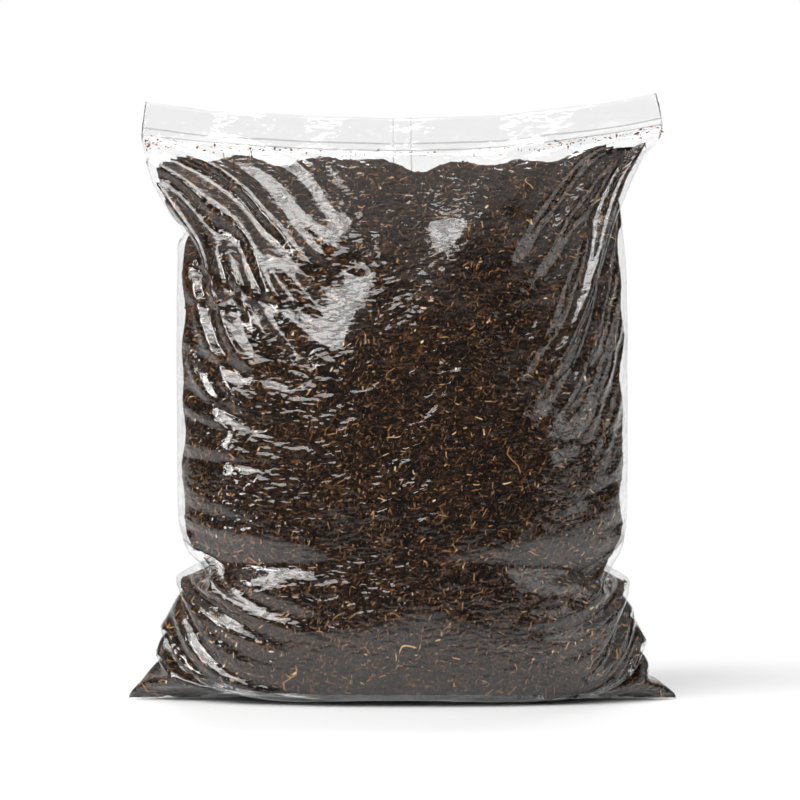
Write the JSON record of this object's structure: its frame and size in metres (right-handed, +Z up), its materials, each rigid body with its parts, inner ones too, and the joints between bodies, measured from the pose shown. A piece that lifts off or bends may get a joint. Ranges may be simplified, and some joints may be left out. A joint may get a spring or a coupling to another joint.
{
  "type": "compost bag",
  "caption": "Clear film pillow bag of dark fibrous compost, standing on its flat base, with a tall welded header across the top and flat ears at the bottom corners.",
  "frame": {"origin": "middle of the base on the floor, below the middle of the bag's box", "axes": "+X to the right across the front, +Y from the front to the back, +Z up to the header"},
  "size_m": [0.35, 0.1465, 0.383],
  "materials": {
    "clear_film": "clear polyethylene film, glossy and creased",
    "compost": "dark moist compost with pale bark and root fibres"
  },
  "bodies": {
    "root": {"film_bag": "clear_film", "compost_fill": "compost"}
  },
  "joints": []
}
